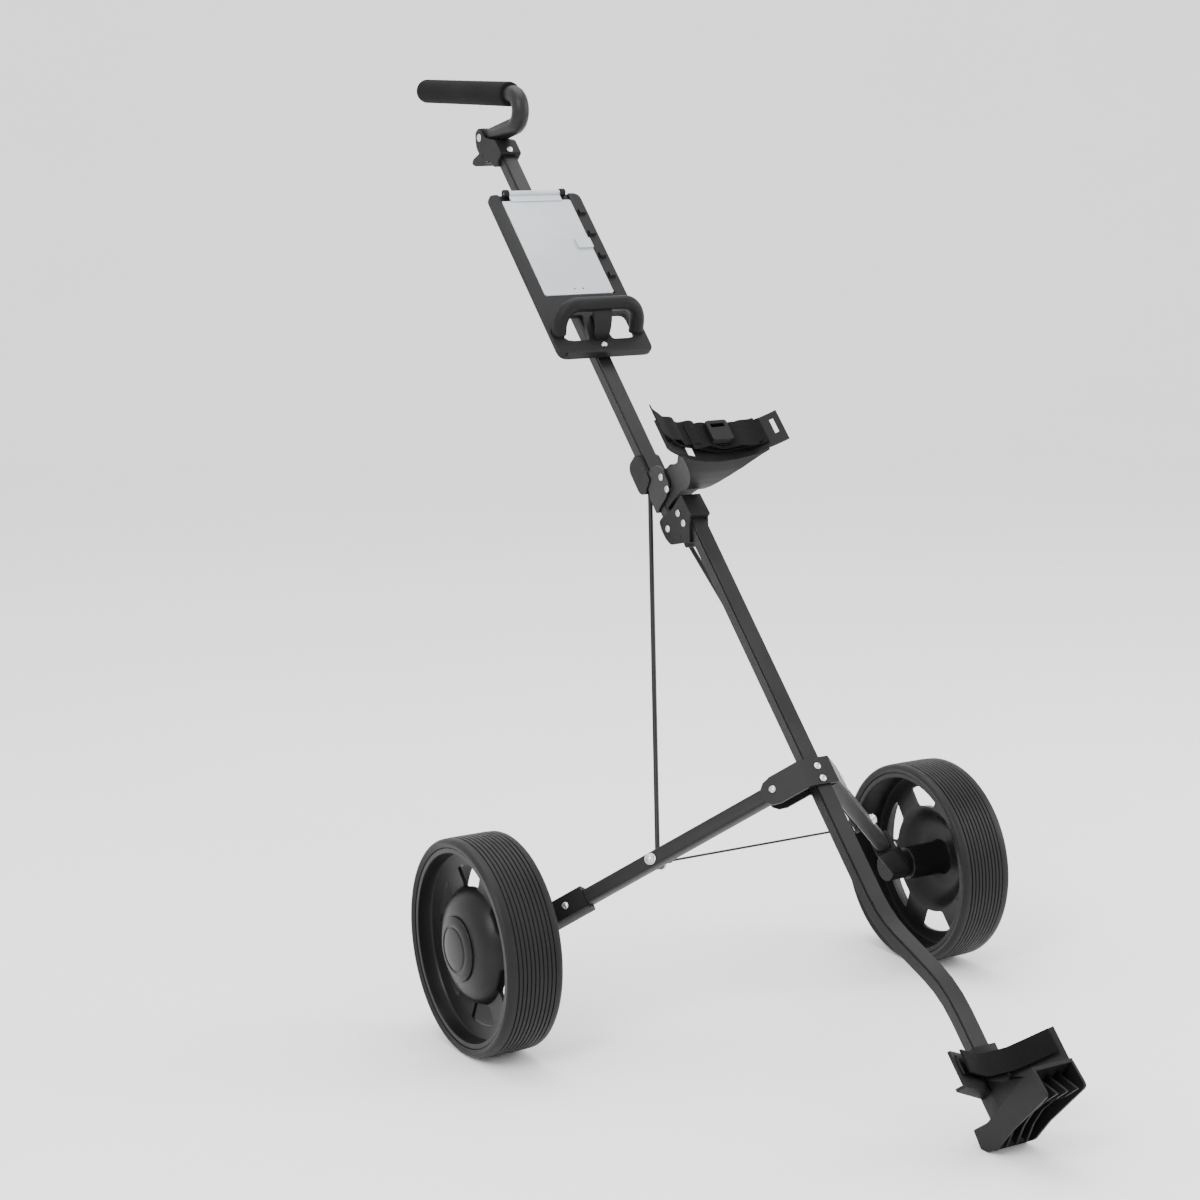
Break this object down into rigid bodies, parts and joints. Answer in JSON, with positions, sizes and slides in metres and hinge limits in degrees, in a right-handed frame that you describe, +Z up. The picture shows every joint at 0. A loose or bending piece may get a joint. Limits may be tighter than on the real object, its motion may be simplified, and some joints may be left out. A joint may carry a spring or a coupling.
{
  "type": "golf push trolley",
  "caption": "Two-wheeled folding golf bag trolley with a hinged steel shaft, splayed legs, bag cradle, foot bracket, console and hooked handle.",
  "frame": {"origin": "on the ground, at the bottom centre of the whole trolley's box", "axes": "+Z up, +Y towards the person walking behind it, +X across to that person's left-hand view side, with the two wheels at -X and +X"},
  "size_m": [0.69, 1.333, 1.0934],
  "materials": {
    "steel": "satin black powder coat",
    "plastic": "fine-textured black moulding",
    "rim": "satin black moulding",
    "tyre": "ribbed black foam-rubber tyre",
    "zinc": "bright zinc-plated steel",
    "frosted": "frosted translucent sheet",
    "foam": "closed-cell foam",
    "webbing": "woven polypropylene webbing",
    "cable": "black-coated steel cable"
  },
  "bodies": {
    "lower_frame": {"lower_shaft": "steel", "hinge_bracket": "plastic", "bracket_rivet_1": "zinc", "bracket_rivet_2": "zinc", "hinge_pin": "zinc", "yoke_front_plate": "steel", "yoke_rear_plate": "steel", "yoke_rivet_1": "zinc", "yoke_rivet_2": "zinc", "left_leg_pivot": "zinc", "right_leg_pivot": "zinc", "foot_bracket": "plastic", "foot_strap": "webbing"},
    "upper_frame": {"upper_shaft": "steel", "cradle": "plastic", "cradle_bracket": "steel", "cradle_rivet_1": "zinc", "cradle_rivet_2": "zinc", "cradle_strap": "webbing", "strap_buckle": "plastic", "rod_collar": "plastic", "console_plate": "plastic", "console_screw": "zinc", "head_clamp": "plastic", "head_screw": "zinc", "handle_pin": "steel"},
    "handle": {"handle_hook": "steel", "handle_grip": "foam"},
    "lock_lever": {"lock_lever": "plastic"},
    "cover": {"scorecard_cover": "frosted"},
    "fold_latch": {"fold_latch": "plastic"},
    "left_leg": {"left_leg_tube": "steel", "left_axle_holder": "plastic", "left_sleeve_screw": "zinc", "left_leg_bolt": "zinc", "left_axle": "zinc"},
    "left_wheel": {"left_rim": "rim", "left_tyre": "tyre", "left_hub_cap": "rim"},
    "left_push_rod": {"left_push_rod": "steel"},
    "left_cable": {"left_spreader_cable": "cable"},
    "right_leg": {"right_leg_tube": "steel", "right_axle_holder": "plastic", "right_sleeve_screw": "zinc", "right_leg_bolt": "zinc", "right_axle": "zinc"},
    "right_wheel": {"right_rim": "rim", "right_tyre": "tyre", "right_hub_cap": "rim"},
    "right_push_rod": {"right_push_rod": "steel"},
    "right_cable": {"right_spreader_cable": "cable"}
  },
  "joints": [
    {"name": "fold_hinge", "type": "hinge", "parent": "lower_frame", "child": "upper_frame", "pos_m": [0, 0.03284, 0.55371], "axis": [-1, 0, 0], "range_deg": [0, 165]},
    {"name": "handle_tilt", "type": "hinge", "parent": "upper_frame", "child": "handle", "pos_m": [0, 0.48267, 1.01193], "axis": [-1, 0, 0], "range_deg": [0, 25]},
    {"name": "lock_lever_press", "type": "hinge", "parent": "upper_frame", "child": "lock_lever", "pos_m": [0, 0.4734, 0.98903], "axis": [-1, 0, 0], "range_deg": [0, 10], "stiffness_Nm_per_rad": 0.6},
    {"name": "cover_hinge", "type": "hinge", "parent": "upper_frame", "child": "cover", "pos_m": [0, 0.36582, 0.94075], "axis": [-1, 0, 0], "range_deg": [0, 110]},
    {"name": "fold_latch_press", "type": "hinge", "parent": "lower_frame", "child": "fold_latch", "pos_m": [0, 0.00436, 0.54761], "axis": [1, 0, 0], "range_deg": [0, 12], "stiffness_Nm_per_rad": 0.5},
    {"name": "left_leg_fold", "type": "hinge", "parent": "lower_frame", "child": "left_leg", "pos_m": [-0.0373, -0.22496, 0.29583], "axis": [-0.7431, -0.4862, 0.4598], "range_deg": [0, 68.2]},
    {"name": "left_wheel_spin", "type": "hinge", "parent": "left_leg", "child": "left_wheel", "pos_m": [-0.305, -0.04135, 0.1225], "axis": [1, 0, 0], "continuous": true},
    {"name": "left_rod_swing", "type": "hinge", "parent": "left_leg", "child": "left_push_rod", "pos_m": [-0.13445, -0.13375, 0.20958], "axis": [0.3757, 0.349, -0.8585], "range_deg": [0, 61.6]},
    {"name": "left_cable_swing", "type": "hinge", "parent": "left_leg", "child": "left_cable", "pos_m": [-0.13066, -0.13127, 0.20724], "axis": [-0.7431, -0.4862, 0.4598], "range_deg": [0, 99.5]},
    {"name": "right_leg_fold", "type": "hinge", "parent": "lower_frame", "child": "right_leg", "pos_m": [0.0373, -0.22496, 0.29583], "axis": [-0.7431, 0.4862, -0.4598], "range_deg": [0, 68.2]},
    {"name": "right_wheel_spin", "type": "hinge", "parent": "right_leg", "child": "right_wheel", "pos_m": [0.305, -0.04135, 0.1225], "axis": [1, 0, 0], "continuous": true},
    {"name": "right_rod_swing", "type": "hinge", "parent": "right_leg", "child": "right_push_rod", "pos_m": [0.13445, -0.13375, 0.20958], "axis": [0.3757, -0.349, 0.8585], "range_deg": [0, 61.6]},
    {"name": "right_cable_swing", "type": "hinge", "parent": "right_leg", "child": "right_cable", "pos_m": [0.13066, -0.13127, 0.20724], "axis": [-0.7431, 0.4862, -0.4598], "range_deg": [0, 99.5]}
  ],
  "couplings": [
    {"joint": "left_leg_fold", "follows": "fold_hinge", "ratio": 0.4114},
    {"joint": "left_rod_swing", "follows": "fold_hinge", "ratio": 0.3716},
    {"joint": "left_cable_swing", "follows": "fold_hinge", "ratio": 0.6},
    {"joint": "right_leg_fold", "follows": "fold_hinge", "ratio": 0.4114},
    {"joint": "right_rod_swing", "follows": "fold_hinge", "ratio": 0.3716},
    {"joint": "right_cable_swing", "follows": "fold_hinge", "ratio": 0.6}
  ]
}
